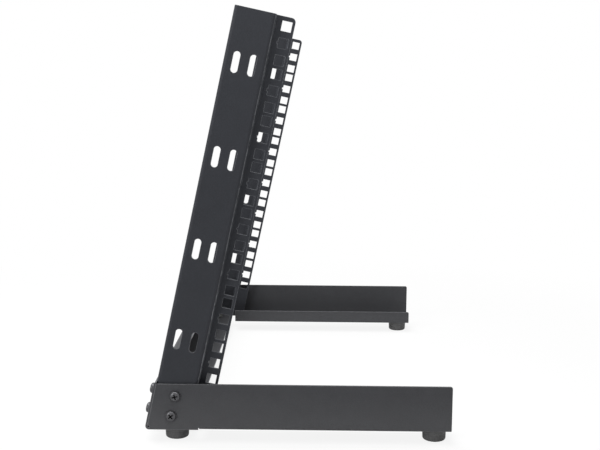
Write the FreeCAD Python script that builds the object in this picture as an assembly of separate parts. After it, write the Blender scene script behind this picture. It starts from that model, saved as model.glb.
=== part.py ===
import FreeCAD, Part
import math
import os

# Desk standing equipment rack: two leaning posts with rows of square holes,
# two side feet, one front cross member, rubber pads, screws and nuts.
# Millimetres. X runs across the rack, Y towards the back, Z up.
# The origin is the middle of the footprint, on the surface that the pads rest on.

# Standard nineteen inch rack sizes
RACK_UNIT_HEIGHT = 44.45
UNIT_COUNT = 8
HOLES_PER_UNIT = 3
HOLE_FROM_UNIT_EDGE = 6.35
HOLE_STEP = 15.875
SQUARE_HOLE = 9.5

# Posts
LEAN = 12.0
POST_SHEET = 2.0
POST_WIDTH_OVERALL = 482.6
POST_DEPTH = 57.4
FRONT_FLANGE_WIDTH = 16.3
FRONT_HOLE_FROM_SIDE = 8.75
WEB_DEPTH = 39.2
SIDE_STRIP_JOG = 11.0
SIDE_HOLE_TO_EDGE = 7.4
POST_TOP_MARGIN = 2.4
LOWEST_HOLE_ABOVE_FOOT = 12.6
POST_TOP_CORNER = 4.0
BEND_INSIDE = 1.5
UNIT_MARK_SIZE = 2.4
UNIT_MARK_DEPTH = 1.2

# Slots in the web of each post
SLOT_WIDTH = 6.5
SLOT_LENGTH = 20.0
SLOT_FROM_FRONT = 11.4
SLOT_SPACING = 15.7
SLOT_FROM_TOP_HOLE = 41.7
SLOT_PITCH_UNITS = 2

# Side feet
FOOT_SHEET = 2.0
FOOT_HEIGHT = 45.2
FOOT_WIDTH = 39.0
FOOT_LIP = 15.8
FOOT_CHANNEL_START = 52.5
BEND_RELIEF = 0.8
BASE_LENGTH = 295.2
FOOT_CORNER = 2.0

# Front cross member
CROSS_SHEET = 2.0
CROSS_LIP = 15.0
CROSS_FLANGE = 45.9
CROSS_ABOVE_FOOT = 2.0

# Rubber pads
PAD_DIAMETER = 23.4
PAD_BOTTOM_DIAMETER = 19.2
PAD_HEIGHT = 12.7
PAD_BEVEL = 1.6
PAD_INSET_SIDE = 19.3
PAD_FROM_FRONT = 29.2
PAD_FROM_BACK = 14.6

# Screws and nuts
SCREW_DIAMETER = 5.0
SCREW_HEAD_DIAMETER = 10.0
SCREW_HEAD_HEIGHT = 3.7
SCREW_HEAD_CROWN = 1.6
SCREW_TAIL = 1.5
SCREW_HOLE_CLEARANCE = 0.5
NUT_ACROSS_FLATS = 8.0
NUT_HEIGHT = 4.0
NUT_BORE_CLEARANCE = 0.2
UPPER_SCREW_BELOW_FOOT_TOP = 7.8
LOWER_SCREW_ABOVE_UNDERSIDE = 18.5
SIDE_SCREW_FROM_FRONT = 20.2
POST_END_CLEARANCE = 0.5
LIP_END_CLEARANCE = 1.0
BEND_END_CLEARANCE = 0.2
FLANGE_END_CLEARANCE = 0.3

# Places that follow from the sizes above
POST_OUTER = POST_WIDTH_OVERALL / 2
FOOT_OUTER = POST_OUTER + FOOT_SHEET
HOLE_COLUMN = POST_OUTER - FRONT_HOLE_FROM_SIDE
CLEAR_HALF = POST_OUTER - FRONT_FLANGE_WIDTH
STRIP_OUTER = POST_OUTER - SIDE_STRIP_JOG
SIDE_HOLE_COLUMN = POST_DEPTH - SIDE_HOLE_TO_EDGE
SCREW_HOLE = SCREW_DIAMETER + SCREW_HOLE_CLEARANCE
FOOT_UNDERSIDE = PAD_HEIGHT
FOOT_TOP = FOOT_UNDERSIDE + FOOT_HEIGHT
CROSS_TOP = FOOT_TOP + CROSS_ABOVE_FOOT
BASE_FRONT = -BASE_LENGTH / 2
BASE_BACK = BASE_LENGTH / 2
LEAN_SLOPE = math.tan(math.radians(LEAN))
LEAN_COSINE = math.cos(math.radians(LEAN))

X_AXIS = FreeCAD.Vector(1, 0, 0)
Y_AXIS = FreeCAD.Vector(0, 1, 0)
Z_AXIS = FreeCAD.Vector(0, 0, 1)


# Leaning frame of the posts: depth runs back from the front face of a post,
# height runs up along it from the level of the feet's underside.
def lean(shape):
    leaned = shape.copy()
    leaned.rotate(FreeCAD.Vector(0, 0, 0), X_AXIS, -LEAN)
    leaned.translate(FreeCAD.Vector(0, post_front_at(FOOT_UNDERSIDE), FOOT_UNDERSIDE))
    return leaned


def post_front_at(level):
    plate_front = BASE_FRONT + (level - FOOT_UNDERSIDE) * LEAN_SLOPE
    return plate_front + CROSS_SHEET / LEAN_COSINE


# Height along the post of the level of a point on it, given the point's depth
def along_post(level, depth):
    return (level - FOOT_UNDERSIDE) / LEAN_COSINE + depth * LEAN_SLOPE


# Cross section of a bent sheet: a closed face around its middle line
def sheet_section(points, thickness, bend_radius):
    middle_radius = bend_radius + thickness / 2
    directions = []
    for start, end in zip(points, points[1:]):
        directions.append((end - start).normalize())
    stations = [(points[0], None, None)]
    for corner, before, after in zip(points[1:-1], directions, directions[1:]):
        turn = before.getAngle(after)
        reach = middle_radius * math.tan(turn / 2)
        stations.append((corner, corner - before * reach, corner + after * reach))
    stations.append((points[-1], None, None))
    edges = []
    ends = {}
    for side in (1, -1):
        cursor = None
        for index, (corner, entry, leave) in enumerate(stations):
            if entry is None:
                direction = directions[0] if index == 0 else directions[-1]
                spot = corner + left_of(direction) * (side * thickness / 2)
                ends[(side, index == 0)] = spot
                if cursor is not None:
                    edges.append(Part.LineSegment(cursor, spot).toShape())
                cursor = spot
                continue
            before = directions[index - 1]
            after = directions[index]
            first = entry + left_of(before) * (side * thickness / 2)
            last = leave + left_of(after) * (side * thickness / 2)
            turn_side = 1 if before.cross(after).z > 0 else -1
            centre = entry + left_of(before) * (turn_side * middle_radius)
            radius = middle_radius - turn_side * side * thickness / 2
            middle = centre + (corner - centre).normalize() * radius
            edges.append(Part.LineSegment(cursor, first).toShape())
            edges.append(Part.Arc(first, middle, last).toShape())
            cursor = last
    for at_start in (True, False):
        edges.append(Part.LineSegment(ends[(1, at_start)], ends[(-1, at_start)]).toShape())
    return Part.Face(Part.Wire(Part.__sortEdges__(edges)))


def left_of(direction):
    return FreeCAD.Vector(-direction.y, direction.x, 0)


def cylinder(radius, length, base, direction):
    return Part.makeCylinder(radius, length, base, direction)


# Heights along the post of all square holes, from the top one down
def hole_heights():
    first = post_top() - POST_TOP_MARGIN - HOLE_FROM_UNIT_EDGE
    heights = []
    for unit in range(UNIT_COUNT):
        for step in range(HOLES_PER_UNIT):
            heights.append(first - unit * RACK_UNIT_HEIGHT - step * HOLE_STEP)
    return heights


# The lowest hole sits clear above the wall of the foot
def lowest_hole():
    return along_post(FOOT_TOP, 0) + LOWEST_HOLE_ABOVE_FOOT


def post_top():
    hole_rows = (UNIT_COUNT - 1) * RACK_UNIT_HEIGHT + (HOLES_PER_UNIT - 1) * HOLE_STEP
    return lowest_hole() + hole_rows + HOLE_FROM_UNIT_EDGE + POST_TOP_MARGIN


# The middle hole of each rack unit, which carries the unit mark
def unit_mark_heights():
    return hole_heights()[HOLES_PER_UNIT // 2::HOLES_PER_UNIT]


def screw_heights():
    return [along_post(FOOT_TOP, 0) - UPPER_SCREW_BELOW_FOOT_TOP, LOWER_SCREW_ABOVE_UNDERSIDE]


# A slot along the post, through the web, with round ends
def web_slot(depth, height):
    half = SLOT_WIDTH / 2
    straight = SLOT_LENGTH - SLOT_WIDTH
    start = FreeCAD.Vector(0, depth, height)
    low = start - Z_AXIS * (straight / 2)
    high = start + Z_AXIS * (straight / 2)
    side = Y_AXIS * half
    edges = [
        Part.LineSegment(low - side, high - side).toShape(),
        Part.Arc(high - side, high + Z_AXIS * half, high + side).toShape(),
        Part.LineSegment(high + side, low + side).toShape(),
        Part.Arc(low + side, low - Z_AXIS * half, low - side).toShape(),
    ]
    outline = Part.Face(Part.Wire(edges))
    outline.translate(X_AXIS * (POST_OUTER - 2 * POST_SHEET))
    return outline.extrude(X_AXIS * (3 * POST_SHEET))


# Square hole in the side strip, with the mark at the middle hole of a unit
def side_hole(height, marked):
    inner = STRIP_OUTER - 2 * POST_SHEET
    corner = FreeCAD.Vector(inner, SIDE_HOLE_COLUMN - SQUARE_HOLE / 2, height - SQUARE_HOLE / 2)
    cut = Part.makeBox(3 * POST_SHEET, SQUARE_HOLE, SQUARE_HOLE, corner)
    if marked:
        corner = corner + FreeCAD.Vector(0, -UNIT_MARK_DEPTH, (SQUARE_HOLE - UNIT_MARK_SIZE) / 2)
        cut = cut.fuse(Part.makeBox(3 * POST_SHEET, SQUARE_HOLE, UNIT_MARK_SIZE, corner))
    return cut


def front_hole(height):
    corner = FreeCAD.Vector(HOLE_COLUMN - SQUARE_HOLE / 2, -POST_SHEET, height - SQUARE_HOLE / 2)
    return Part.makeBox(SQUARE_HOLE, 3 * POST_SHEET, SQUARE_HOLE, corner)


# One post as a bent sheet: front flange, web, inward jog and side strip
def upright():
    half = POST_SHEET / 2
    web_middle = POST_OUTER - half
    strip_middle = STRIP_OUTER - half
    section = sheet_section(
        [
            FreeCAD.Vector(CLEAR_HALF, half, 0),
            FreeCAD.Vector(web_middle, half, 0),
            FreeCAD.Vector(web_middle, WEB_DEPTH - half, 0),
            FreeCAD.Vector(strip_middle, WEB_DEPTH - half, 0),
            FreeCAD.Vector(strip_middle, POST_DEPTH, 0),
        ],
        POST_SHEET,
        BEND_INSIDE,
    )
    blank = section.extrude(Z_AXIS * post_top())
    cuts = []
    marked = unit_mark_heights()
    for height in hole_heights():
        cuts.append(side_hole(height, height in marked))
        cuts.append(front_hole(height))
    for pair in range(UNIT_COUNT // SLOT_PITCH_UNITS):
        height = hole_heights()[0] - SLOT_FROM_TOP_HOLE - pair * SLOT_PITCH_UNITS * RACK_UNIT_HEIGHT
        cuts.append(web_slot(SLOT_FROM_FRONT, height))
        cuts.append(web_slot(SLOT_FROM_FRONT + SLOT_SPACING, height))
    for height in screw_heights():
        web_base = FreeCAD.Vector(POST_OUTER - 2 * POST_SHEET, SIDE_SCREW_FROM_FRONT, height)
        cuts.append(cylinder(SCREW_HOLE / 2, 3 * POST_SHEET, web_base, X_AXIS))
        flange_base = FreeCAD.Vector(HOLE_COLUMN, -POST_SHEET, height)
        cuts.append(cylinder(SCREW_HOLE / 2, 3 * POST_SHEET, flange_base, Y_AXIS))
    post = blank.cut(cuts)
    post = post.cut(round_off_tool())
    post = lean(post)
    level = FOOT_UNDERSIDE + FOOT_SHEET + BEND_INSIDE + POST_END_CLEARANCE
    trim = Part.makeBox(
        2 * POST_OUTER, BASE_LENGTH, BASE_LENGTH, FreeCAD.Vector(0, -BASE_LENGTH, level - BASE_LENGTH)
    )
    return post.cut(trim)


# What is cut away to round the free top corner of the side strip
def round_off_tool():
    radius = POST_TOP_CORNER
    corner = FreeCAD.Vector(STRIP_OUTER - 2 * POST_SHEET, POST_DEPTH - radius, post_top() - radius)
    block = Part.makeBox(3 * POST_SHEET, 2 * radius, 2 * radius, corner)
    return block.cut(cylinder(radius, 3 * POST_SHEET, corner, X_AXIS))


# A side foot: a channel of bent sheet, whose wall runs on past the post
def side_foot():
    half = FOOT_SHEET / 2
    section = sheet_section(
        [
            FreeCAD.Vector(FOOT_OUTER - FOOT_WIDTH + half, FOOT_UNDERSIDE + FOOT_LIP, 0),
            FreeCAD.Vector(FOOT_OUTER - FOOT_WIDTH + half, FOOT_UNDERSIDE + half, 0),
            FreeCAD.Vector(FOOT_OUTER - half, FOOT_UNDERSIDE + half, 0),
            FreeCAD.Vector(FOOT_OUTER - half, FOOT_TOP, 0),
        ],
        FOOT_SHEET,
        BEND_INSIDE,
    )
    section.rotate(FreeCAD.Vector(0, 0, 0), X_AXIS, 90)
    section.translate(Y_AXIS * BASE_BACK)
    channel = section.extrude(Y_AXIS * (FOOT_CHANNEL_START - BASE_LENGTH))
    wall = Part.makeBox(
        FOOT_SHEET,
        FOOT_CHANNEL_START,
        FOOT_HEIGHT,
        FreeCAD.Vector(POST_OUTER, BASE_FRONT, FOOT_UNDERSIDE),
    )
    relief = Part.makeBox(
        3 * FOOT_SHEET,
        BEND_RELIEF,
        2 * FOOT_SHEET,
        FreeCAD.Vector(
            FOOT_OUTER - 2 * FOOT_SHEET,
            BASE_FRONT + FOOT_CHANNEL_START - BEND_RELIEF,
            FOOT_UNDERSIDE - FOOT_SHEET,
        ),
    )
    foot = channel.fuse(wall).removeSplitter().cut(front_of_foot_tool())
    cuts = [relief, wall_corner_tool(), lip_corner_tool()]
    for height in screw_heights():
        base = FreeCAD.Vector(FOOT_OUTER - 2 * FOOT_SHEET, SIDE_SCREW_FROM_FRONT, height)
        cuts.append(lean(cylinder(SCREW_HOLE / 2, 3 * FOOT_SHEET, base, X_AXIS)))
    pad_base = FreeCAD.Vector(pad_across(), pad_places()[1], FOOT_UNDERSIDE - FOOT_SHEET)
    cuts.append(cylinder(SCREW_HOLE / 2, 3 * FOOT_SHEET, pad_base, Z_AXIS))
    return foot.cut(cuts)


# Everything in front of the leaning front face of the post, and the room
# that the bend between the cross member's plate and flange takes
def front_of_foot_tool():
    reach = BASE_LENGTH
    front = Part.makeBox(2 * FOOT_OUTER, reach, 2 * reach, FreeCAD.Vector(0, -reach, -reach))
    bend = Part.makeBox(
        2 * FOOT_OUTER,
        reach,
        bend_reach() + BEND_END_CLEARANCE + 2 * CROSS_SHEET,
        FreeCAD.Vector(
            0, flange_start() + BEND_END_CLEARANCE - reach, FOOT_UNDERSIDE - CROSS_SHEET
        ),
    )
    return lean(front).fuse(bend)


# How far the inside of that bend reaches from its corner
def bend_reach():
    return BEND_INSIDE / math.tan(math.radians(90 - LEAN) / 2)


# Where the flat part of the cross member's flange starts behind the bend
def flange_start():
    return post_front_at(FOOT_UNDERSIDE + CROSS_SHEET) + bend_reach()


# What is cut away to round an upper back corner of a foot
def back_corner_tool(x, top):
    radius = FOOT_CORNER
    corner = FreeCAD.Vector(x, BASE_BACK - radius, top - radius)
    block = Part.makeBox(3 * FOOT_SHEET, 2 * radius, 2 * radius, corner)
    return block.cut(cylinder(radius, 3 * FOOT_SHEET, corner, X_AXIS))


def wall_corner_tool():
    return back_corner_tool(FOOT_OUTER - 2 * FOOT_SHEET, FOOT_TOP)


def lip_corner_tool():
    return back_corner_tool(FOOT_OUTER - FOOT_WIDTH - FOOT_SHEET, FOOT_UNDERSIDE + FOOT_LIP)


# The cross member: lip, leaning front plate and a flange between the feet
def cross_member():
    half = CROSS_SHEET / 2
    lean_shift = half / LEAN_COSINE
    low = FOOT_UNDERSIDE + half
    high = CROSS_TOP - half
    low_y = BASE_FRONT + half * LEAN_SLOPE + lean_shift
    high_y = low_y + (high - low) * LEAN_SLOPE
    section = sheet_section(
        [
            FreeCAD.Vector(high_y - lean_shift + CROSS_LIP, high, 0),
            FreeCAD.Vector(high_y, high, 0),
            FreeCAD.Vector(low_y, low, 0),
            FreeCAD.Vector(BASE_FRONT + CROSS_FLANGE, low, 0),
        ],
        CROSS_SHEET,
        BEND_INSIDE,
    )
    section.rotate(FreeCAD.Vector(0, 0, 0), FreeCAD.Vector(1, 1, 1), 120)
    section.translate(X_AXIS * -FOOT_OUTER)
    member = section.extrude(X_AXIS * (2 * FOOT_OUTER))
    cuts = []
    for side in (1, -1):
        lip_end = CLEAR_HALF - LIP_END_CLEARANCE
        low_x = lip_end if side > 0 else -FOOT_OUTER - CROSS_SHEET
        width = FOOT_OUTER + CROSS_SHEET - lip_end
        level = FOOT_UNDERSIDE + FOOT_HEIGHT / 2
        block = Part.makeBox(width, CROSS_LIP * 2, FOOT_HEIGHT, FreeCAD.Vector(low_x, 0, 0))
        block.translate(Z_AXIS * along_post(level, 0))
        cuts.append(lean(block))
        flange_end = POST_OUTER - FLANGE_END_CLEARANCE
        flange_x = flange_end if side > 0 else -flange_end - 2 * FOOT_SHEET
        cuts.append(
            Part.makeBox(
                2 * FOOT_SHEET,
                CROSS_FLANGE,
                3 * CROSS_SHEET,
                FreeCAD.Vector(flange_x, flange_start(), FOOT_UNDERSIDE - CROSS_SHEET),
            )
        )
        for height in screw_heights():
            base = FreeCAD.Vector(side * HOLE_COLUMN, -2 * CROSS_SHEET, height)
            cuts.append(lean(cylinder(SCREW_HOLE / 2, 3 * CROSS_SHEET, base, Y_AXIS)))
        pad_base = FreeCAD.Vector(side * pad_across(), pad_places()[0], FOOT_UNDERSIDE - CROSS_SHEET)
        cuts.append(cylinder(SCREW_HOLE / 2, 3 * CROSS_SHEET, pad_base, Z_AXIS))
    return member.cut(cuts)


def pad_places():
    return [BASE_FRONT + PAD_FROM_FRONT, BASE_BACK - PAD_FROM_BACK]


def pad_across():
    return FOOT_OUTER - PAD_INSET_SIDE


# A turned shape from the half section whose (radius, height) points are given
def turned(points):
    corners = [FreeCAD.Vector(radius, 0, height) for radius, height in points]
    section = Part.Face(Part.makePolygon(corners + corners[:1]))
    return section.revolve(FreeCAD.Vector(0, 0, 0), Z_AXIS, 360)


# A rubber pad: tapered, with a bevelled lower edge
def rubber_pad(y):
    bottom = PAD_BOTTOM_DIAMETER / 2
    body = turned(
        [
            (0, PAD_HEIGHT),
            (PAD_DIAMETER / 2, PAD_HEIGHT),
            (bottom + PAD_BEVEL, PAD_BEVEL),
            (bottom, 0),
            (0, 0),
        ]
    )
    body.translate(FreeCAD.Vector(pad_across(), y, 0))
    return body


# A pan head screw: head up along Z, its seat at the origin
def pan_head_screw(grip):
    head = SCREW_HEAD_DIAMETER / 2
    shank = SCREW_DIAMETER / 2
    length = grip + NUT_HEIGHT + SCREW_TAIL
    return turned(
        [
            (0, SCREW_HEAD_HEIGHT),
            (head - SCREW_HEAD_CROWN, SCREW_HEAD_HEIGHT),
            (head, SCREW_HEAD_HEIGHT - SCREW_HEAD_CROWN),
            (head, 0),
            (shank, 0),
            (shank, -length),
            (0, -length),
        ]
    )


# A hexagon nut whose bearing face is at the origin and that reaches down along Z
def hexagon_nut():
    corner = NUT_ACROSS_FLATS / 2 / math.cos(math.radians(30))
    points = []
    for step in range(7):
        angle = math.radians(60 * step)
        points.append(FreeCAD.Vector(corner * math.cos(angle), corner * math.sin(angle), 0))
    block = Part.Face(Part.makePolygon(points)).extrude(Z_AXIS * -NUT_HEIGHT)
    base = Z_AXIS * (-1.5 * NUT_HEIGHT)
    bore = cylinder((SCREW_DIAMETER + NUT_BORE_CLEARANCE) / 2, 2 * NUT_HEIGHT, base, Z_AXIS)
    return block.cut(bore)


# Turns a fastener so that its head points along the given direction
def pointed(shape, direction, place):
    placed = shape.copy()
    placed.Placement = FreeCAD.Placement(place, FreeCAD.Rotation(Z_AXIS, direction))
    return placed


# Screw and nut that hold the foot's wall to the web of the post
def side_fastener(height):
    seat = FreeCAD.Vector(FOOT_OUTER, SIDE_SCREW_FROM_FRONT, height)
    nut_seat = FreeCAD.Vector(POST_OUTER - POST_SHEET, SIDE_SCREW_FROM_FRONT, height)
    screw = pointed(pan_head_screw(FOOT_SHEET + POST_SHEET), X_AXIS, seat)
    nut = pointed(hexagon_nut(), X_AXIS, nut_seat)
    return lean(screw), lean(nut)


# Screw and nut that hold the cross member's plate to the front flange
def front_fastener(height):
    seat = FreeCAD.Vector(HOLE_COLUMN, -CROSS_SHEET, height)
    nut_seat = FreeCAD.Vector(HOLE_COLUMN, POST_SHEET, height)
    screw = pointed(pan_head_screw(CROSS_SHEET + POST_SHEET), -Y_AXIS, seat)
    nut = pointed(hexagon_nut(), -Y_AXIS, nut_seat)
    return lean(screw), lean(nut)


def mirrored(shape):
    return shape.mirror(FreeCAD.Vector(0, 0, 0), X_AXIS)


# The pieces of the right hand side, by name
def right_side():
    pieces = {"upright": upright(), "side_foot": side_foot()}
    for label, height in zip(("upper", "lower"), screw_heights()):
        screw, nut = side_fastener(height)
        pieces["side_screw_" + label] = screw
        pieces["side_nut_" + label] = nut
        screw, nut = front_fastener(height)
        pieces["front_screw_" + label] = screw
        pieces["front_nut_" + label] = nut
    for label, y in zip(("front", "back"), pad_places()):
        pieces["rubber_pad_" + label] = rubber_pad(y)
    return pieces


def all_pieces():
    pieces = {"cross_member": cross_member()}
    for name, shape in right_side().items():
        pieces[name + "_right"] = shape
        pieces[name + "_left"] = mirrored(shape)
    return pieces


# Moves the part so that the origin is under the middle of its box
def centred(pieces):
    box = Part.makeCompound(list(pieces.values())).BoundBox
    shift = FreeCAD.Vector(0, -(box.YMin + box.YMax) / 2, 0)
    for shape in pieces.values():
        shape.translate(shift)
    return pieces


os.makedirs("parts", exist_ok=True)
for node, solid in centred(all_pieces()).items():
    solid.exportStep("parts/" + node + ".step")
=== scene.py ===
import bpy
import bmesh
import math
from mathutils import Matrix, Vector


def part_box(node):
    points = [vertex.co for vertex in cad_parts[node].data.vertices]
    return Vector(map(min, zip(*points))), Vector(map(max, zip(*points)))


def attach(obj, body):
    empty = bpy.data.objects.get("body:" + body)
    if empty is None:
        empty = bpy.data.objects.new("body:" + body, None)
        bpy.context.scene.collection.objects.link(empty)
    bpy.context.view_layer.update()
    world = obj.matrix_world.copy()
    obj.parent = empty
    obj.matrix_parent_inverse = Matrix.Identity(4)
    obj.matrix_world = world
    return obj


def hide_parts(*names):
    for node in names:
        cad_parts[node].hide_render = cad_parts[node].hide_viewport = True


bl_info = {
    "name": "Desk rack dressing",
    "version": (1, 0, 0),
    "blender": (4, 5, 0),
    "location": "3D View > Sidebar > Desk Rack",
    "description": "Finishes the desk standing equipment rack and sets its studio",
    "category": "Object",
}

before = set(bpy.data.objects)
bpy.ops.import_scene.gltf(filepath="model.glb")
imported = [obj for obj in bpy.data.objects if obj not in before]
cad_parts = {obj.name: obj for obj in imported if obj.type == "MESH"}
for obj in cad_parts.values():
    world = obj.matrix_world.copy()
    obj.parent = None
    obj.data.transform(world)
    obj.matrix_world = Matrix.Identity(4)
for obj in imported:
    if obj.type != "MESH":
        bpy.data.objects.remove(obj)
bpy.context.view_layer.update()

SIDES = ("right", "left")
LEVELS = ("upper", "lower")
PAD_PLACES = ("front", "back")
BASE_NODES = ("cross_member", "side_foot_right", "side_foot_left")
POST_NODES = ("upright_right", "upright_left")
LEAN = math.radians(12.0)
SHEET_THICKNESS = 0.002
DOWN = Vector((0, 0, -1))


# Sizes and colours

class SheetSettings(bpy.types.PropertyGroup):
    """Finish of the bent sheet pieces"""

    base_colour: bpy.props.FloatVectorProperty(
        name="Base colour", description="Colour of the powder coat on the feet and cross member",
        subtype="COLOR", size=3, min=0, max=1, default=(0.0502, 0.051, 0.055),
    )
    post_colour: bpy.props.FloatVectorProperty(
        name="Post colour", description="Colour of the powder coat on the posts",
        subtype="COLOR", size=3, min=0, max=1, default=(0.0262, 0.0279, 0.033),
    )
    base_gloss: bpy.props.FloatProperty(
        name="Base gloss", description="Strength of the sheen on the feet and cross member",
        subtype="FACTOR", min=0, max=1, default=0.11,
    )
    post_gloss: bpy.props.FloatProperty(
        name="Post gloss", description="Strength of the sheen on the posts",
        subtype="FACTOR", min=0, max=1, default=0.16,
    )
    coat_roughness: bpy.props.FloatProperty(
        name="Coat roughness", description="How matt the powder coat is",
        subtype="FACTOR", min=0, max=1, default=0.54,
    )
    grain_size: bpy.props.FloatProperty(
        name="Grain size", description="Width of one grain of the textured coat",
        subtype="DISTANCE", min=0.0001, default=0.0009,
    )
    edge_rounding: bpy.props.FloatProperty(
        name="Edge rounding", description="How much the coat rounds the cut edges",
        subtype="DISTANCE", min=0.0, default=0.00045,
    )
    # Pale edges on the powder coat: partly wear, partly painted highlight
    pale_edge_amount: bpy.props.FloatProperty(
        name="Pale edges", description="How far the edges are painted pale, as wear and as painted highlight",
        subtype="FACTOR", min=0, max=1, default=0.8,
    )
    # Strength of the painted highlight along the long bends at the back of the posts
    bend_highlight_strength: bpy.props.FloatProperty(
        name="Bend highlight",
        description="How strongly the painted highlight along the long bends at the back of the posts shows",
        min=0, default=2.2,
    )


class FastenerSettings(bpy.types.PropertyGroup):
    """Sizes and finishes of the screws and nuts"""

    head_diameter: bpy.props.FloatProperty(
        name="Head diameter", description="Diameter of a screw's pan head",
        subtype="DISTANCE", default=0.010,
    )
    head_height: bpy.props.FloatProperty(
        name="Head height", description="Height of a screw's pan head",
        subtype="DISTANCE", default=0.0037,
    )
    shank_diameter: bpy.props.FloatProperty(
        name="Thread diameter", description="Outer diameter of the thread",
        subtype="DISTANCE", default=0.005,
    )
    thread_pitch: bpy.props.FloatProperty(
        name="Thread pitch", description="Distance from one turn of the thread to the next",
        subtype="DISTANCE", default=0.0008,
    )
    recess_span: bpy.props.FloatProperty(
        name="Recess span", description="Width across the wings of the cross recess",
        subtype="DISTANCE", default=0.0062,
    )
    recess_depth: bpy.props.FloatProperty(
        name="Recess depth", description="Depth of the cross recess",
        subtype="DISTANCE", default=0.0024,
    )
    screw_colour: bpy.props.FloatVectorProperty(
        name="Screw colour", description="Colour of the blackened screws",
        subtype="COLOR", size=3, min=0, max=1, default=(0.085, 0.085, 0.09),
    )
    # Near black colour inside the cross recess: painted shade in the recess
    recess_shade_colour: bpy.props.FloatVectorProperty(
        name="Recess shade colour", description="Painted shade inside the cross recess",
        subtype="COLOR", size=3, min=0, max=1, default=(0.008, 0.008, 0.008),
    )
    first_turn: bpy.props.FloatProperty(
        name="First turn", description="How the cross of the first screw is turned",
        subtype="ANGLE", default=math.radians(15),
    )
    next_turn: bpy.props.FloatProperty(
        name="Next turn", description="How much further the cross of each next screw is turned",
        subtype="ANGLE", default=math.radians(12.5),
    )
    nut_width: bpy.props.FloatProperty(
        name="Nut width", description="Width across the flats of a nut",
        subtype="DISTANCE", default=0.008,
    )
    nut_height: bpy.props.FloatProperty(
        name="Nut height", description="Height of a nut",
        subtype="DISTANCE", default=0.004,
    )
    thread_tail: bpy.props.FloatProperty(
        name="Thread tail", description="How far a screw reaches past its nut",
        subtype="DISTANCE", default=0.0015,
    )
    pad_recess: bpy.props.FloatProperty(
        name="Pad recess", description="Depth of the recess that a pad's screw sits in",
        subtype="DISTANCE", default=0.0065,
    )
    nut_colour: bpy.props.FloatVectorProperty(
        name="Nut colour", description="Colour of the plated nuts",
        subtype="COLOR", size=3, min=0, max=1, default=(0.17, 0.17, 0.165),
    )


class PadSettings(bpy.types.PropertyGroup):
    """Shape and finish of the rubber pads"""

    rubber_colour: bpy.props.FloatVectorProperty(
        name="Rubber colour", description="Colour of the rubber",
        subtype="COLOR", size=3, min=0, max=1, default=(0.088, 0.088, 0.089),
    )
    edge_round: bpy.props.FloatProperty(
        name="Lower edge radius", description="Radius of the rounded lower edge",
        subtype="DISTANCE", min=0.0, default=0.0022,
    )
    top_round: bpy.props.FloatProperty(
        name="Upper edge radius", description="Radius of the rounded upper edge",
        subtype="DISTANCE", min=0.0, default=0.0006,
    )


class StageSettings(bpy.types.PropertyGroup):
    """Camera, lamps and floor"""

    camera_place: bpy.props.FloatVectorProperty(
        name="Camera place", description="Where the camera stands",
        subtype="TRANSLATION", size=3, default=(1.17339, 0.01324, 0.34206),
    )
    camera_pitch: bpy.props.FloatProperty(
        name="Camera pitch", description="Tilt of the camera above the horizon",
        subtype="ANGLE", default=math.radians(-7.92),
    )
    camera_yaw: bpy.props.FloatProperty(
        name="Camera yaw", description="Turn of the camera from the rack's own side direction",
        subtype="ANGLE", default=math.radians(-0.76),
    )
    camera_roll: bpy.props.FloatProperty(
        name="Camera roll", description="Roll of the camera about its line of sight",
        subtype="ANGLE", default=math.radians(0.41),
    )
    focal_length: bpy.props.FloatProperty(
        name="Focal length", description="Focal length in millimetres for a 36 mm wide sensor",
        default=60.39,
    )
    key_power: bpy.props.FloatProperty(
        name="Key lamp power", description="Power of the large lamp overhead",
        subtype="POWER", default=29.0,
    )
    high_power: bpy.props.FloatProperty(
        name="High lamp power", description="Power of the small lamp high at the rack's right",
        subtype="POWER", default=2.0,
    )
    rear_power: bpy.props.FloatProperty(
        name="Rear lamp power", description="Power of the lamp behind the rack at its left",
        subtype="POWER", default=8.0,
    )
    fill_power: bpy.props.FloatProperty(
        name="Fill lamp power", description="Power of the lamp in front of the rack",
        subtype="POWER", default=13.0,
    )
    room_light: bpy.props.FloatProperty(
        name="Room light", description="Strength of the light from all round",
        min=0.0, default=0.12,
    )
    floor_colour: bpy.props.FloatVectorProperty(
        name="Floor colour", description="Colour of the floor",
        subtype="COLOR", size=3, min=0, max=1, default=(0.86, 0.86, 0.86),
    )


# Node helpers

def node(tree, kind, label="", **values):
    made = tree.nodes.new(kind)
    made.label = label
    for key, value in values.items():
        if key in made.inputs:
            made.inputs[key].default_value = value
        else:
            setattr(made, key, value)
    return made


# Links a socket to the one that feeds it, or sets it to a plain value
def feed(tree, socket, source):
    if isinstance(source, bpy.types.NodeSocket):
        tree.links.new(source, socket)
    else:
        socket.default_value = source


def math_node(tree, label, operation, first, second, clamp=False):
    made = node(tree, "ShaderNodeMath", label, operation=operation, use_clamp=clamp)
    feed(tree, made.inputs[0], first)
    feed(tree, made.inputs[1], second)
    return made.outputs[0]


# Multiplies masks in turn and keeps the last result between 0 and 1
def product(tree, label, *factors):
    total = factors[0]
    for factor in factors[1:]:
        total = math_node(tree, label, "MULTIPLY", total, factor, factor is factors[-1])
    return total


def dot_product(tree, label, first, second):
    made = node(tree, "ShaderNodeVectorMath", label, operation="DOT_PRODUCT")
    feed(tree, made.inputs[0], first)
    feed(tree, made.inputs[1], second)
    return made.outputs["Value"]


def upright_part(tree, vector):
    parts = node(tree, "ShaderNodeSeparateXYZ")
    tree.links.new(vector, parts.inputs[0])
    return parts.outputs["Z"]


def map_range(tree, label, value, source, target=(0.0, 1.0), curve="LINEAR"):
    made = node(tree, "ShaderNodeMapRange", label, interpolation_type=curve)
    names = ("Value", "From Min", "From Max", "To Min", "To Max")
    for name, fed in zip(names, (value, *source, *target)):
        feed(tree, made.inputs[name], fed)
    return made.outputs["Result"]


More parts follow.
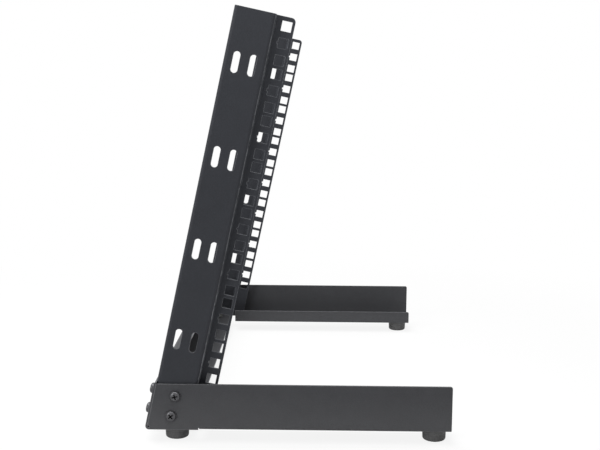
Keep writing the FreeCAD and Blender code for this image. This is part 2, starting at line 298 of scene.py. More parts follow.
# Noise on the object's own coordinates, with the size of its patches in metres
def noise(tree, label, place, size, detail, roughness):
    made = node(tree, "ShaderNodeTexNoise", label, Detail=detail, Roughness=roughness)
    tree.links.new(place, made.inputs["Vector"])
    tree.links.new(math_node(tree, "per metre", "DIVIDE", 1.0, size), made.inputs["Scale"])
    return made.outputs["Fac"]


def mixed_colour(tree, label, share, low, high):
    made = node(tree, "ShaderNodeMix", label, data_type="RGBA")
    for number, source in ((0, share), (6, low), (7, high)):
        feed(tree, made.inputs[number], source)
    return made.outputs[2]


def new_group(name, inputs, outputs):
    tree = bpy.data.node_groups.new(name, "ShaderNodeTree")
    for label, default in inputs:
        socket = tree.interface.new_socket(
            label, in_out="INPUT", socket_type="NodeSocketFloat")
        socket.default_value = default
    for label in outputs:
        tree.interface.new_socket(label, in_out="OUTPUT", socket_type="NodeSocketFloat")
    given = tree.nodes.new("NodeGroupInput").outputs
    return tree, given, tree.nodes.new("NodeGroupOutput").inputs


def use_group(tree, name, **values):
    made = tree.nodes.new("ShaderNodeGroup")
    made.node_tree = bpy.data.node_groups[name]
    made.label = name
    for key, value in values.items():
        made.inputs[key.replace("_", " ")].default_value = value
    return made.outputs


def new_material(name):
    material = bpy.data.materials.new(name)
    material.use_nodes = True
    tree = material.node_tree
    return material, tree, tree.nodes["Principled BSDF"].inputs


# Shared effects

# Fine bumps, like those of a textured powder coat or of moulded rubber
def build_surface_grain():
    tree, given, out = new_group(
        "Surface Grain",
        (("Grain Size", 0.001), ("Patch Size", 0.02)),
        ("Height", "Patches", "Speckle"),
    )
    place = node(tree, "ShaderNodeTexCoord").outputs["Object"]
    grains = noise(tree, "grains", place, given["Grain Size"], detail=3.0, roughness=0.6)
    patches = noise(tree, "patches", place, given["Patch Size"], detail=4.0, roughness=0.55)
    cells = node(tree, "ShaderNodeTexVoronoi", "speckle", feature="F1")
    tree.links.new(place, cells.inputs["Vector"])
    tree.links.new(
        math_node(tree, "per metre", "DIVIDE", 1.0, given["Grain Size"]), cells.inputs["Scale"])
    speckle = cells.outputs["Distance"]
    height = math_node(tree, "grains and speckle", "ADD", grains, speckle)
    tree.links.new(height, out["Height"])
    tree.links.new(patches, out["Patches"])
    tree.links.new(speckle, out["Speckle"])


# A mask that is highest on edges and corners and 0 on open faces. On the powder coat it makes
# edges pale, partly as wear and partly as painted highlight where lamps catch them; on steel and
# rubber it makes bare and scuffed edges
def build_edge_mask():
    tree, given, out = new_group(
        "Edge Mask", (("Width", 0.001), ("Amount", 0.3), ("Break Size", 0.01)), ("Mask",))
    face_agreement = 0.93
    edge_agreement = 0.84
    rounded = node(tree, "ShaderNodeBevel", "rounded normal", samples=6)
    tree.links.new(given["Width"], rounded.inputs["Radius"])
    surface = node(tree, "ShaderNodeNewGeometry")
    agreement = dot_product(
        tree, "agreement", rounded.outputs["Normal"], surface.outputs["Normal"])
    edge = map_range(tree, "edge", agreement, (face_agreement, edge_agreement))
    place = node(tree, "ShaderNodeTexCoord").outputs["Object"]
    breaks = noise(tree, "breaks", place, given["Break Size"], detail=5.0, roughness=0.65)
    torn = map_range(tree, "torn", breaks, (0.35, 0.65), (0.5, 1.0))
    tree.links.new(product(tree, "broken edge mask", edge, torn, given["Amount"]), out["Mask"])


# A thin film of dust on faces that look up, and painted bounce light that makes walls lighter low
# down, the outer ones most
def build_dust_and_bounce_light():
    tree, given, out = new_group(
        "Dust and Painted Bounce Light",
        (("Amount", 0.1), ("Low Amount", 0.05), ("Low Reach", 0.06), ("Cloud Size", 0.03)),
        ("Mask",),
    )
    low_end = 0.008
    on_walls = 0.12
    on_inner_walls = 0.6
    normal = node(tree, "ShaderNodeNewGeometry").outputs["Normal"]
    place = node(tree, "ShaderNodeTexCoord").outputs["Object"]
    rise = upright_part(tree, normal)
    upward = map_range(tree, "upward", rise, (0.2, 1.0), (on_walls, 1.0))
    clouds = noise(tree, "clouds", place, given["Cloud Size"], detail=6.0, roughness=0.7)
    settled = product(tree, "settled", upward, clouds, given["Amount"])
    height = upright_part(tree, place)
    # Painted bounce light: walls are made lighter low down
    low = map_range(tree, "near the desk", height, (given["Low Reach"], low_end))
    wall = map_range(tree, "walls alone", rise, (0.7, 0.3))
    facing = dot_product(tree, "away from the middle", normal, place)
    outer = map_range(tree, "outer walls most", facing, (0.0, 0.1), (on_inner_walls, 1.0))
    painted_bounce_light = product(tree, "painted bounce light low down", low, wall, outer, given["Low Amount"])
    tree.links.new(math_node(tree, "settled film and painted bounce light", "ADD", settled, painted_bounce_light, True), out["Mask"])


# A narrow mask along a long bend, on the part of it that stands out the most: a painted
# highlight, stronger low down and broken up in patches
def build_painted_bend_highlight():
    tree, given, out = new_group(
        "Painted Bend Highlight", (("Amount", 0.5), ("Break Size", 0.006)), ("Mask",))
    full_highlight_below = 0.08
    less_highlight_above = 0.17
    normal = node(tree, "ShaderNodeNewGeometry").outputs["Normal"]
    place = node(tree, "ShaderNodeTexCoord").outputs["Object"]
    turn = dot_product(tree, "turn to the back", normal, (0.0, math.cos(LEAN), -math.sin(LEAN)))
    start = map_range(tree, "start of the ridge", turn, (0.74, 0.88), curve="SMOOTHSTEP")
    end = map_range(tree, "end of the ridge", turn, (0.999, 0.96), curve="SMOOTHSTEP")
    breaks = noise(tree, "breaks", place, given["Break Size"], detail=3.0, roughness=0.6)
    torn = map_range(tree, "torn", breaks, (0.44, 0.56), (0.3, 1.0))
    height = upright_part(tree, place)
    lower = map_range(
        tree, "more low down", height, (less_highlight_above, full_highlight_below), (0.35, 1.0))
    ridge_highlight = product(tree, "painted highlight on the ridge", start, end, torn, lower, given["Amount"])
    tree.links.new(ridge_highlight, out["Mask"])


def build_shared_effects():
    build_surface_grain()
    build_edge_mask()
    build_dust_and_bounce_light()
    build_painted_bend_highlight()


# Materials

# Grey mixed in for dust and for painted bounce light low down on walls
DUST_AND_BOUNCE_COLOUR = (0.32, 0.32, 0.32, 1.0)
WHITE = (1.0, 1.0, 1.0, 1.0)
STEEL_METALLIC = 0.75
STEEL_EDGE_TINT = (0.45, 0.45, 0.45, 1.0)
RUBBER_ROUGHNESS = (0.62, 0.82)


def opaque(colour):
    return (colour[0], colour[1], colour[2], 1.0)


# A colour made lighter or darker, kept below 1
def toned(colour, times, add=0.0):
    return opaque([min(1.0, part * times + add) for part in colour])


# Roughness that varies in patches, and fine bumps
def add_relief(tree, shader, grain, roughness, strength, height):
    rough = map_range(tree, "roughness in patches", grain["Patches"], (0.0, 1.0), roughness)
    tree.links.new(rough, shader["Roughness"])
    bump = node(tree, "ShaderNodeBump", "fine relief", Strength=strength, Distance=height)
    tree.links.new(grain["Height"], bump.inputs["Height"])
    tree.links.new(bump.outputs["Normal"], shader["Normal"])


# Textured powder coat: fine grain, faint patches, edges made pale partly by wear and partly as
# painted highlight, a painted highlight along the posts' rear bends, a little dust, and painted
# bounce light low down on the walls
def powder_coat(name, settings, colour, gloss):
    material, tree, shader = new_material(name)
    grain = use_group(tree, "Surface Grain", Grain_Size=settings.grain_size, Patch_Size=0.018)
    edge_mask = use_group(
        tree, "Edge Mask", Width=0.0011, Amount=settings.pale_edge_amount, Break_Size=0.006)
    # Dust on faces that look up, and painted bounce light low down on walls
    dust_and_bounce = use_group(
        tree, "Dust and Painted Bounce Light", Amount=0.02, Low_Amount=0.085, Low_Reach=0.05, Cloud_Size=0.025)
    # Painted highlight along the rear bends of the posts
    ridge = use_group(tree, "Painted Bend Highlight", Amount=settings.bend_highlight_strength, Break_Size=0.009)
    dark_patch = toned(colour, 0.86)
    light_patch = toned(colour, 1.14)
    light_fleck = toned(colour, 1.7)
    # Pale edges: partly wear, partly painted highlight
    pale_wear_and_highlight = toned(colour, 3.2, 0.11)
    fleck_share = (0.0, 0.22)
    coat = mixed_colour(tree, "patchy coat", grain["Patches"], dark_patch, light_patch)
    flecks = map_range(tree, "grain shade", grain["Speckle"], (0.15, 0.75), fleck_share)
    coat = mixed_colour(tree, "grain in the coat", flecks, coat, light_fleck)
    pale_edges_and_bend = math_node(tree, "edges and bends", "MAXIMUM", edge_mask["Mask"], ridge["Mask"])
    coat = mixed_colour(tree, "pale edges, wear and painted highlight", pale_edges_and_bend, coat, pale_wear_and_highlight)
    coat = mixed_colour(tree, "settled film and painted bounce light on the coat", dust_and_bounce["Mask"], coat, DUST_AND_BOUNCE_COLOUR)
    tree.links.new(coat, shader["Base Color"])
    shader["Specular IOR Level"].default_value = gloss
    roughness = (settings.coat_roughness - 0.05, settings.coat_roughness + 0.07)
    add_relief(tree, shader, grain, roughness, strength=0.35, height=0.00012)
    return material


# Blackened or dull plated steel, with fine marks and bare steel on the edges
def plated_steel(name, colour, roughness):
    material, tree, shader = new_material(name)
    grain = use_group(tree, "Surface Grain", Grain_Size=0.0003, Patch_Size=0.003)
    edge_mask = use_group(tree, "Edge Mask", Width=0.0002, Amount=0.45, Break_Size=0.0015)
    dark_patch = toned(colour, 0.8)
    light_patch = toned(colour, 1.2)
    bare_steel = toned(colour, 1.6, 0.12)
    plating = mixed_colour(tree, "patchy plating", grain["Patches"], dark_patch, light_patch)
    plating = mixed_colour(tree, "bare edges", edge_mask["Mask"], plating, bare_steel)
    tree.links.new(plating, shader["Base Color"])
    shader["Metallic"].default_value = STEEL_METALLIC
    shader["Specular Tint"].default_value = STEEL_EDGE_TINT
    spread = (roughness - 0.06, roughness + 0.08)
    add_relief(tree, shader, grain, spread, strength=0.2, height=0.00004)
    return material


# Matt moulded rubber with a grey bloom and scuffed edges
def moulded_rubber(colour):
    material, tree, shader = new_material("Black rubber")
    grain = use_group(tree, "Surface Grain", Grain_Size=0.0006, Patch_Size=0.006)
    edge_mask = use_group(tree, "Edge Mask", Width=0.0012, Amount=0.3, Break_Size=0.003)
    dark_patch = toned(colour, 0.8)
    grey_bloom = toned(colour, 1.35)
    scuffed = toned(colour, 2.4)
    rubber = mixed_colour(tree, "bloom", grain["Patches"], dark_patch, grey_bloom)
    rubber = mixed_colour(tree, "scuffed edge", edge_mask["Mask"], rubber, scuffed)
    tree.links.new(rubber, shader["Base Color"])
    add_relief(tree, shader, grain, RUBBER_ROUGHNESS, strength=0.4, height=0.00012)
    return material


# Mesh helpers

SHARP_ANGLE = math.radians(35)
SCREW_SHARP_ANGLE = math.radians(32)
NUT_SHARP_ANGLE = math.radians(25)
PAD_SHARP_ANGLE = math.radians(40)
SAME_PLANE = 0.00002
SAME_POINT = 0.000001


def ring_of(mesh, radius, height, steps):
    ring = []
    for step in range(steps):
        angle = 2 * math.pi * step / steps
        ring.append(mesh.verts.new((radius * math.cos(angle), radius * math.sin(angle), height)))
    return ring


# A turned surface round Z from a profile of (radius, height) points, closed at the axis
def turned_mesh(mesh, profile, steps):
    rings = []
    for radius, height in profile:
        rings.append(ring_of(mesh, radius, height, steps if radius else 1))
    for lower, upper in zip(rings, rings[1:]):
        join_rings(mesh, lower, upper)
    return rings


# Faces between two rings of points, either of which may be a single point
def join_rings(mesh, lower, upper):
    count = max(len(lower), len(upper))
    for step in range(count):
        after = (step + 1) % count
        corners = [lower[step % len(lower)], lower[after % len(lower)],
                   upper[after % len(upper)], upper[step % len(upper)]]
        face = []
        for corner in corners:
            if corner not in face:
                face.append(corner)
        if len(face) > 2:
            mesh.faces.new(face)


def arc_points(centre, radius, start, end, steps):
    points = []
    for step in range(steps + 1):
        angle = start + (end - start) * step / steps
        points.append((
            centre[0] + radius * math.cos(angle), centre[1] + radius * math.sin(angle)))
    return points


# Turns a bmesh into an object, smooth but for the edges above the sharp angle
def finished_object(name, mesh, sharp_angle=SHARP_ANGLE):
    bmesh.ops.recalc_face_normals(mesh, faces=mesh.faces)
    for face in mesh.faces:
        face.smooth = True
    for edge in mesh.edges:
        edge.smooth = len(edge.link_faces) == 2 and edge.calc_face_angle(0) < sharp_angle
    data = bpy.data.meshes.new(name)
    mesh.to_mesh(data)
    mesh.free()
    made = bpy.data.objects.new(name, data)
    bpy.context.scene.collection.objects.link(made)
    return made


# Moves a mesh made along Z to its place, turned about its own axis by the angle given
def put_at(made, place, direction, spin=0.0):
    aim = direction.to_track_quat("Z", "Y").to_matrix().to_4x4()
    made.data.transform(Matrix.Translation(place) @ aim @ Matrix.Rotation(spin, 4, "Z"))


# Middle of the end of a CAD node that lies furthest along the given direction
def end_of_node(name, direction):
    points = [vertex.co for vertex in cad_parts[name].data.vertices]
    furthest = max(point.dot(direction) for point in points)
    ring = [point for point in points if furthest - point.dot(direction) < SAME_PLANE]
    low = Vector([min(point[axis] for point in ring) for axis in range(3)])
    high = Vector([max(point[axis] for point in ring) for axis in range(3)])
    return (low + high) / 2


def length_of_node(name, direction):
    return (end_of_node(name, direction) - end_of_node(name, -direction)).dot(direction)


# Outward direction of each kind of fastener: where its head points
def head_direction(kind, side):
    if kind == "side":
        return Vector((1 if side == "right" else -1, 0, 0))
    return Vector((0, -math.cos(LEAN), math.sin(LEAN)))


def fastener_names(piece):
    names = []
    for side in SIDES:
        for level in LEVELS:
            names.append(("side", side, "side_%s_%s_%s" % (piece, level, side)))
            names.append(("front", side, "front_%s_%s_%s" % (piece, level, side)))
    return names


# Middle of a rubber pad and the level of the sheet that it is screwed under
def pad_centre(place, side):
    low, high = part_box("rubber_pad_%s_%s" % (place, side))
    return ((low[0] + high[0]) / 2, (low[1] + high[1]) / 2), high[2]


# Screws

# Depth and point are shares of the pitch; flank and root shape the wave of the thread
THREAD_STEPS = 28
THREAD_ROWS_A_TURN = 8
THREAD_DEPTH = 0.55
THREAD_FLANK = 3.0
THREAD_ROOT = 0.35
THREAD_POINT = 1.2

# The rim is a share of the head's height and the crown a share of its radius
HEAD_STEPS = 56
HEAD_RIM = 0.38
HEAD_CROWN = 0.25
HEAD_CROWN_STEPS = 10
HEAD_CHAMFER = 0.00015
INSIDE_SHANK = 0.9

# Shares of the recess span, and of its half span and wing width at the mouth and floor
WING_WIDTH = 0.10
RECESS_REACH = 0.56
RECESS_MOUTH = (1.08, 1.12)
RECESS_FLOOR = (0.50, 0.72)
RECESS_TOOL_TOP = 1.15
BELOW_DOME = 0.0001


# Height of the thread's profile, from 0 in the root to 1 on the crest
def thread_height(turns):
    wave = turns - math.floor(turns)
    return min(1.0, max(0.0, THREAD_FLANK * (0.5 - abs(wave - 0.5)) - THREAD_ROOT))


def add_thread(mesh, settings, length):
    pitch = settings.thread_pitch
    outer = settings.shank_diameter / 2
    depth = pitch * THREAD_DEPTH
    rows = int(length / pitch * THREAD_ROWS_A_TURN) + 1
    rings = []
    for row in range(rows + 1):
        height = -length * row / rows
        pointed = max(0.0, 1.0 - (length + height) / (THREAD_POINT * pitch))
        ring = []
        for step in range(THREAD_STEPS):
            angle = 2 * math.pi * step / THREAD_STEPS
            crest = thread_height(height / pitch - step / THREAD_STEPS)
            radius = outer - depth * (1 - crest) - depth * pointed
            ring.append(mesh.verts.new((
                radius * math.cos(angle), radius * math.sin(angle), height)))
        rings.append(ring)
    for upper, lower in zip(rings, rings[1:]):
        join_rings(mesh, upper, lower)
    join_rings(mesh, rings[-1], [mesh.verts.new((0, 0, -length))])


# The upright side of the head and its domed top, from the rim to the axis
def dome_profile(settings):
    head = settings.head_diameter / 2
    height = settings.head_height
    rim = height * HEAD_RIM
    crown = head * HEAD_CROWN
    profile = [(head, rim)]
    for step in range(1, HEAD_CROWN_STEPS + 1):
        turn = math.pi / 2 * step / HEAD_CROWN_STEPS
        radius = crown + (head - crown) * math.cos(turn)
        profile.append((radius, rim + (height - rim) * math.sin(turn)))
    return profile + [(0.0, height)]


def pan_head_profile(settings):
    head = settings.head_diameter / 2
    inner = settings.shank_diameter / 2 * INSIDE_SHANK
    foot = [(inner, 0.0), (head - HEAD_CHAMFER, 0.0), (head, HEAD_CHAMFER)]
    return foot + dome_profile(settings)


# Level of the head's domed top at a distance from its axis
def dome_height(settings, reach):
    points = dome_profile(settings)
    for outer, inner in zip(points, points[1:]):
        if inner[0] <= reach <= outer[0]:
            share = (outer[0] - reach) / (outer[0] - inner[0])
            return outer[1] + (inner[1] - outer[1]) * share
    return 0.0


# The tapered cross that the driver fits, as a solid to take out of the head
def cross_recess_tool(settings):
    mesh = bmesh.new()
    top = settings.head_height * RECESS_TOOL_TOP
    floor = settings.head_height - settings.recess_depth
    span = settings.recess_span / 2
    wing = settings.recess_span * WING_WIDTH
    for crosswise in (False, True):
        low = []
        high = []
        for along, across in ((-1, -1), (1, -1), (1, 1), (-1, 1)):
            wide = (span * RECESS_MOUTH[0] * along, wing * RECESS_MOUTH[1] * across)
            narrow = (span * RECESS_FLOOR[0] * along, wing * RECESS_FLOOR[1] * across)
            if crosswise:
                wide = (wide[1], -wide[0])
                narrow = (narrow[1], -narrow[0])
            high.append(mesh.verts.new((wide[0], wide[1], top)))
            low.append(mesh.verts.new((narrow[0], narrow[1], floor)))
        mesh.faces.new(high)
        mesh.faces.new(low[::-1])
        for step in range(4):
            after = (step + 1) % 4
            mesh.faces.new((low[step], low[after], high[after], high[step]))
    return finished_object("cross_recess_tool", mesh)


# The mesh of a head with its cross recess, whose faces take the second material, the painted
# shade
def screw_head(settings):
    mesh = bmesh.new()
    rings = turned_mesh(mesh, pan_head_profile(settings), HEAD_STEPS)
    mesh.faces.new(rings[0])
    head = finished_object("screw_head", mesh)
    tool = cross_recess_tool(settings)
    cut = head.modifiers.new("cross recess", "BOOLEAN")
    cut.object = tool
    cut.operation = "DIFFERENCE"
    cut.solver = "EXACT"
    cut.use_self = True
    shaped = bpy.data.meshes.new_from_object(
        head.evaluated_get(bpy.context.evaluated_depsgraph_get())
    )
    bpy.data.objects.remove(head)
    bpy.data.objects.remove(tool)
    recess_reach = settings.recess_span * RECESS_REACH
    for face in shaped.polygons:
        middle = face.center
        reach = math.hypot(middle.x, middle.y)
        sunk = middle.z < dome_height(settings, reach) - BELOW_DOME
        if reach < recess_reach and sunk:
            face.material_index = 1
    return shaped


def make_screw(name, settings, head, length):
    mesh = bmesh.new()
    mesh.from_mesh(head)
    add_thread(mesh, settings, length - settings.head_height)
    return finished_object(name, mesh, SCREW_SHARP_ANGLE)


# Nuts

# The round face of a nut is a share of its width across the flats
NUT_STEPS_A_SIDE = 8
NUT_FACE = 0.97
NUT_BEVEL = math.radians(30)
BORE_CLEARANCE = 0.00005
BORE_CHAMFER = 0.0004


# A hexagon nut with bevelled corners on both faces; it reaches down from its bearing face
def make_nut(name, settings):
    mesh = bmesh.new()
    flats = settings.nut_width / 2
    height = settings.nut_height
    bore = settings.shank_diameter / 2 + BORE_CLEARANCE
    face = flats * NUT_FACE
    steps = 6 * NUT_STEPS_A_SIDE

    # The side of the nut, whose corners drop away from the face by the bevel
    def hexagon(level, direction):
        ring = []
        for step in range(steps):
            angle = 2 * math.pi * step / steps
            radius = flats / math.cos((angle % (math.pi / 3)) - math.pi / 6)
            drop = max(0.0, radius - face) * math.tan(NUT_BEVEL)
            ring.append(mesh.verts.new((
                radius * math.cos(angle), radius * math.sin(angle), level + direction * drop)))
        return ring

    rings = [
        ring_of(mesh, bore, -BORE_CHAMFER, steps),
        ring_of(mesh, bore + BORE_CHAMFER, 0.0, steps),
        ring_of(mesh, face, 0.0, steps),
        hexagon(0.0, -1),
        hexagon(-height, 1),
        ring_of(mesh, face, -height, steps),
        ring_of(mesh, bore + BORE_CHAMFER, -height, steps),
        ring_of(mesh, bore, -height + BORE_CHAMFER, steps),
    ]
    for lower, upper in zip(rings, rings[1:] + rings[:1]):
        join_rings(mesh, lower, upper)
    return finished_object(name, mesh, NUT_SHARP_ANGLE)


# Rubber pads

# The taper is the foot's share of the top, and the groove's place its share of the wall
PAD_TAPER = 0.965
PAD_STEPS = 72
PAD_EDGE_STEPS = 8
PAD_LIP_STEPS = 5
PAD_RECESS_RADIUS = 0.006
PAD_HOLE_RADIUS = 0.0028
PAD_RECESS_CORNER = 0.0005
PAD_RECESS_CHAMFER = 0.0007
GROOVE_PLACE = 0.52
GROOVE_HALF = 0.0003
GROOVE_DEPTH = 0.00018


# Tapered pad with rounded edges, a shallow groove and a recess for its screw
def make_pad(name, settings, cad_name, recess_depth):
    low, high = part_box(cad_name)
    height = high[2] - low[2]
    top = (high[0] - low[0]) / 2
    foot = top * PAD_TAPER
    edge = settings.edge_round
    lip = settings.top_round
    taper = math.atan2(top - foot, height)
    hole_end = (PAD_HOLE_RADIUS, recess_depth)
    profile = [
        hole_end,
        (PAD_RECESS_RADIUS - PAD_RECESS_CORNER, recess_depth),
        (PAD_RECESS_RADIUS, recess_depth - PAD_RECESS_CORNER),
        (PAD_RECESS_RADIUS, PAD_RECESS_CHAMFER),
        (PAD_RECESS_RADIUS + PAD_RECESS_CHAMFER, 0.0),
    ]
    profile += arc_points((foot - edge, edge), edge, -math.pi / 2, -taper, PAD_EDGE_STEPS)
    wall_top = height - lip
    wall_foot, wall_low = profile[-1]
    groove = wall_low + (wall_top - wall_low) * GROOVE_PLACE
    slope = (top - wall_foot) / (height - wall_low)
    for rise, sink in ((-GROOVE_HALF, 0.0), (0.0, GROOVE_DEPTH), (GROOVE_HALF, 0.0)):
        level = groove + rise
        profile.append((wall_foot + slope * (level - wall_low) - sink, level))
    profile += arc_points((top - lip, wall_top), lip, -taper, math.pi / 2, PAD_LIP_STEPS)
    profile += [(PAD_HOLE_RADIUS, height), hole_end]
    mesh = bmesh.new()
    turned_mesh(mesh, profile, PAD_STEPS)
    bmesh.ops.remove_doubles(mesh, verts=mesh.verts, dist=SAME_POINT)
    made = finished_object(name, mesh, PAD_SHARP_ANGLE)
    made.location = ((low[0] + high[0]) / 2, (low[1] + high[1]) / 2, low[2])
    return made


# Sheet pieces

FLAT_ANGLE = math.radians(0.5)
CUT_EDGE_ANGLE = math.radians(40)
ROUNDING_STEPS = 2
SHADING_WEIGHT = 60


# Rounds the cut edges of a sheet piece by the thickness that the coat gives them
def round_edges(piece, size):
    join = piece.modifiers.new("flat faces joined", "DECIMATE")
    join.decimate_type = "DISSOLVE"
    join.angle_limit = FLAT_ANGLE
    bevel = piece.modifiers.new("coated edges", "BEVEL")
    bevel.width = size
    bevel.segments = ROUNDING_STEPS
    bevel.limit_method = "ANGLE"
    bevel.angle_limit = CUT_EDGE_ANGLE
    bevel.use_clamp_overlap = True
    bevel.harden_normals = False
    normals = piece.modifiers.new("even shading", "WEIGHTED_NORMAL")
    normals.keep_sharp = True
    normals.weight = SHADING_WEIGHT


class RACK_OT_dress_sheets(bpy.types.Operator):
    """Gives the bent sheet pieces their powder coat and rounded edges"""

    bl_idname = "rack.dress_sheets"
    bl_label = "Dress Sheet Pieces"

    def execute(self, context):
        settings = context.scene.rack_sheets
        base_coat = powder_coat(
            "Base powder coat", settings, tuple(settings.base_colour), settings.base_gloss)
        post_coat = powder_coat(
            "Post powder coat", settings, tuple(settings.post_colour), settings.post_gloss)
        for names, coat in ((BASE_NODES, base_coat), (POST_NODES, post_coat)):
            for name in names:
                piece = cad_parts[name]
                piece.data.materials.clear()
                piece.data.materials.append(coat)
                round_edges(piece, settings.edge_rounding)
        return {"FINISHED"}


class RACK_OT_make_screws(bpy.types.Operator):
    """Makes the pan head screws with cross recess and thread"""

    bl_idname = "rack.make_screws"
    bl_label = "Make Screws"

    def execute(self, context):
        settings = context.scene.rack_fasteners
        steel = plated_steel("Black screw steel", tuple(settings.screw_colour), roughness=0.34)
        # The recess takes a near black copy of the steel: painted shade
        recess = plated_steel("Painted shade in the screw recess", tuple(settings.recess_shade_colour), roughness=0.6)
        head = screw_head(settings)
        for number, (kind, side, name) in enumerate(fastener_names("screw")):
            direction = head_direction(kind, side)
            length = length_of_node(name, direction)
            piece = make_screw("dressed_" + name, settings, head, length)
            seat = end_of_node(name, direction) - direction * settings.head_height
            put_at(piece, seat, direction, settings.first_turn + settings.next_turn * number)
            piece.data.materials.append(steel)
            piece.data.materials.append(recess)
            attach(piece, "root")
            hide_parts(name)
        for side in SIDES:
            for place in PAD_PLACES:
                name = "pad_screw_%s_%s" % (place, side)
                centre, level = pad_centre(place, side)
                seat = Vector((centre[0], centre[1], settings.pad_recess))
                grip = level + SHEET_THICKNESS - settings.pad_recess
                beyond = settings.nut_height + settings.thread_tail
                length = settings.head_height + grip + beyond
                piece = make_screw(name, settings, head, length)
                put_at(piece, seat, DOWN)
                piece.data.materials.append(steel)
                piece.data.materials.append(recess)
                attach(piece, "root")
        bpy.data.meshes.remove(head)
        return {"FINISHED"}


class RACK_OT_make_nuts(bpy.types.Operator):
    """Makes the bevelled hexagon nuts"""

    bl_idname = "rack.make_nuts"
    bl_label = "Make Nuts"

    def execute(self, context):
        settings = context.scene.rack_fasteners
        steel = plated_steel("Dull nut steel", tuple(settings.nut_colour), roughness=0.36)
        for kind, side, name in fastener_names("nut"):
            direction = head_direction(kind, side)
            piece = make_nut("dressed_" + name, settings)
            put_at(piece, end_of_node(name, direction), direction)
            piece.data.materials.append(steel)
            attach(piece, "root")
            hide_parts(name)
        for side in SIDES:
            for place in PAD_PLACES:
                centre, level = pad_centre(place, side)
                piece = make_nut("pad_nut_%s_%s" % (place, side), settings)
                seat = Vector((centre[0], centre[1], level + SHEET_THICKNESS))
                put_at(piece, seat, DOWN)
                piece.data.materials.append(steel)
                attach(piece, "root")
        return {"FINISHED"}


class RACK_OT_make_pads(bpy.types.Operator):
    """Makes the rounded rubber pads under the base"""

    bl_idname = "rack.make_pads"
    bl_label = "Make Rubber Pads"

    def execute(self, context):
        settings = context.scene.rack_pads
        recess_depth = context.scene.rack_fasteners.pad_recess
        rubber = moulded_rubber(tuple(settings.rubber_colour))
        for side in SIDES:
            for place in PAD_PLACES:
                name = "rubber_pad_%s_%s" % (place, side)
                piece = make_pad("dressed_" + name, settings, name, recess_depth)
                piece.data.materials.append(rubber)
                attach(piece, "root")
                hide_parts(name)
        return {"FINISHED"}


# Stage

FLOOR_HALF_WIDTH = 6.0
FLOOR_GAP = 0.0002
SENSOR_WIDTH = 36.0
NEAREST_SEEN = 0.01


def camera_matrix(settings):
    pitch = settings.camera_pitch
    yaw = settings.camera_yaw
    roll = settings.camera_roll
    sight = Vector((
        -math.cos(pitch) * math.cos(yaw), math.cos(pitch) * math.sin(yaw), math.sin(pitch)
    ))
    level = Vector((math.sin(yaw), math.cos(yaw), 0))
    upright = level.cross(sight)
    right = level * math.cos(roll) + upright * math.sin(roll)
    up = upright * math.cos(roll) - level * math.sin(roll)
    turn = Matrix((right, up, -sight)).transposed().to_4x4()
    return Matrix.Translation(Vector(settings.camera_place)) @ turn


# 1 for rays that see the backdrop as white, and 0 for those that gather light from it
def backdrop_factor(tree):
    path = node(tree, "ShaderNodeLightPath").outputs
    seen = math_node(
        tree, "camera or gloss", "MAXIMUM", path["Is Camera Ray"], path["Is Glossy Ray"])
    return math_node(tree, "or glass", "MAXIMUM", seen, path["Is Transmission Ray"])


# A plain lit shader, and white in its place for the share of rays given
def plain_or_white(tree, out, plain, white, share):
    mix = node(tree, "ShaderNodeMixShader")
    for number, source in enumerate((share, plain.outputs[0], white.outputs[0])):
        tree.links.new(source, mix.inputs[number])
    tree.links.new(mix.outputs[0], out.inputs["Surface"])


def floor_material(colour):
    material = bpy.data.materials.new("Pale floor")
    material.use_nodes = True
    tree = material.node_tree
    tree.nodes.clear()
    near_share = 0.87
    fade = (0.25, 0.85)
    out = node(tree, "ShaderNodeOutputMaterial")
    plain = node(tree, "ShaderNodeBsdfDiffuse", "floor", Color=opaque(colour))
    white = node(tree, "ShaderNodeEmission", "white backdrop")
    place = node(tree, "ShaderNodeTexCoord").outputs["Object"]
    distance = node(tree, "ShaderNodeVectorMath", "distance from the rack", operation="LENGTH")
    tree.links.new(place, distance.inputs[0])
    share = map_range(
        tree, "share of white", distance.outputs["Value"], fade, (near_share, 1.0), "SMOOTHSTEP")
    seen = product(tree, "white where seen", backdrop_factor(tree), share)
    plain_or_white(tree, out, plain, white, seen)
    return material


def studio_world(strength):
    world = bpy.data.worlds.new("Studio")
    world.use_nodes = True
    tree = world.node_tree
    tree.nodes.clear()
    out = node(tree, "ShaderNodeOutputWorld")
    light = node(tree, "ShaderNodeBackground", "room light", Color=WHITE, Strength=strength)
    white = node(tree, "ShaderNodeBackground", "white backdrop", Color=WHITE)
    plain_or_white(tree, out, light, white, backdrop_factor(tree))
    return world


def soft_lamp(name, place, aim, size, power):
    lamp = bpy.data.lights.new(name, "AREA")
    lamp.shape = "RECTANGLE"
    lamp.size = size[0]
    lamp.size_y = size[1]
    lamp.energy = power
    made = bpy.data.objects.new(name, lamp)
    bpy.context.scene.collection.objects.link(made)
    made.location = place
    made.rotation_euler = (Vector(aim) - Vector(place)).to_track_quat("-Z", "Y").to_euler()


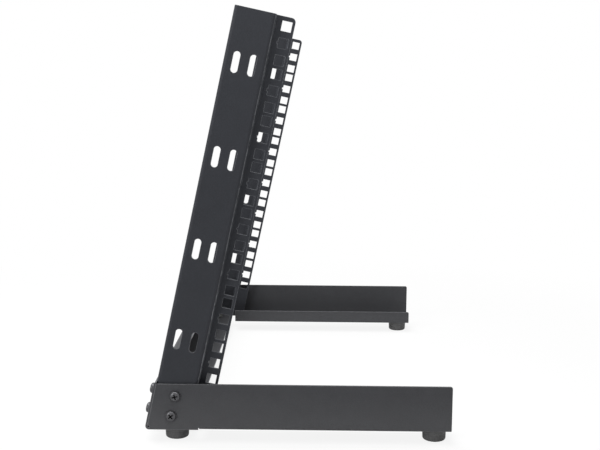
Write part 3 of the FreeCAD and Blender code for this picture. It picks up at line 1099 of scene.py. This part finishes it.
class RACK_OT_set_stage(bpy.types.Operator):
    """Sets up the floor, the lamps, the room light and the camera"""

    bl_idname = "rack.set_stage"
    bl_label = "Set Stage"

    def execute(self, context):
        settings = context.scene.rack_stage
        scene = context.scene
        mesh = bmesh.new()
        bmesh.ops.create_grid(mesh, x_segments=1, y_segments=1, size=FLOOR_HALF_WIDTH)
        floor = finished_object("studio_floor", mesh)
        floor.data.materials.append(floor_material(settings.floor_colour))
        floor.location.z = -FLOOR_GAP
        scene.world = studio_world(settings.room_light)
        for name, place, aim, size, power in (
            ("overhead_softbox", (0, -0.6, 1.4), (0.1, -0.3, 0), (1.0, 1.6), settings.key_power),
            ("high_softbox", (0.6, 0.1, 0.8), (0.24, 0.05, 0.4), (0.3, 0.3), settings.high_power),
            ("rear_softbox", (-1.2, 1.6, 1.0), (0, 0, 0.15), (0.8, 0.8), settings.rear_power),
            ("front_softbox", (1.6, -1.4, 0.8), (0, 0, 0.15), (0.8, 0.8), settings.fill_power),
        ):
            soft_lamp(name, place, aim, size, power)
        camera = bpy.data.cameras.new("camera")
        camera.sensor_width = SENSOR_WIDTH
        camera.sensor_fit = "HORIZONTAL"
        camera.lens = settings.focal_length
        camera.clip_start = NEAREST_SEEN
        made = bpy.data.objects.new("camera", camera)
        scene.collection.objects.link(made)
        made.matrix_world = camera_matrix(settings)
        scene.camera = made
        scene.view_settings.view_transform = "Standard"
        return {"FINISHED"}


# Panel

class RACK_PT_panel(bpy.types.Panel):
    """Lists the rack's settings and its makers"""

    bl_idname = "RACK_PT_panel"
    bl_label = "Desk Rack"
    bl_space_type = "VIEW_3D"
    bl_region_type = "UI"
    bl_category = "Desk Rack"

    def draw(self, context):
        scene = context.scene
        for title, group, maker in (
            ("Sheet pieces", scene.rack_sheets, RACK_OT_dress_sheets),
            ("Fasteners", scene.rack_fasteners, RACK_OT_make_screws),
            ("Nuts", None, RACK_OT_make_nuts),
            ("Rubber pads", scene.rack_pads, RACK_OT_make_pads),
            ("Stage", scene.rack_stage, RACK_OT_set_stage),
        ):
            box = self.layout.box()
            box.label(text=title)
            if group is not None:
                for name in group.__annotations__:
                    box.prop(group, name)
            box.operator(maker.bl_idname)


CLASSES = (
    SheetSettings, FastenerSettings, PadSettings, StageSettings,
    RACK_OT_dress_sheets, RACK_OT_make_screws, RACK_OT_make_nuts, RACK_OT_make_pads,
    RACK_OT_set_stage, RACK_PT_panel,
)


def register():
    for made in CLASSES:
        bpy.utils.register_class(made)
    bpy.types.Scene.rack_sheets = bpy.props.PointerProperty(type=SheetSettings)
    bpy.types.Scene.rack_fasteners = bpy.props.PointerProperty(type=FastenerSettings)
    bpy.types.Scene.rack_pads = bpy.props.PointerProperty(type=PadSettings)
    bpy.types.Scene.rack_stage = bpy.props.PointerProperty(type=StageSettings)


def unregister():
    del bpy.types.Scene.rack_stage
    del bpy.types.Scene.rack_pads
    del bpy.types.Scene.rack_fasteners
    del bpy.types.Scene.rack_sheets
    for made in reversed(CLASSES):
        bpy.utils.unregister_class(made)


def main():
    register()
    build_shared_effects()
    bpy.ops.rack.dress_sheets()
    bpy.ops.rack.make_screws()
    bpy.ops.rack.make_nuts()
    bpy.ops.rack.make_pads()
    bpy.ops.rack.set_stage()


if __name__ == "__main__":
    main()
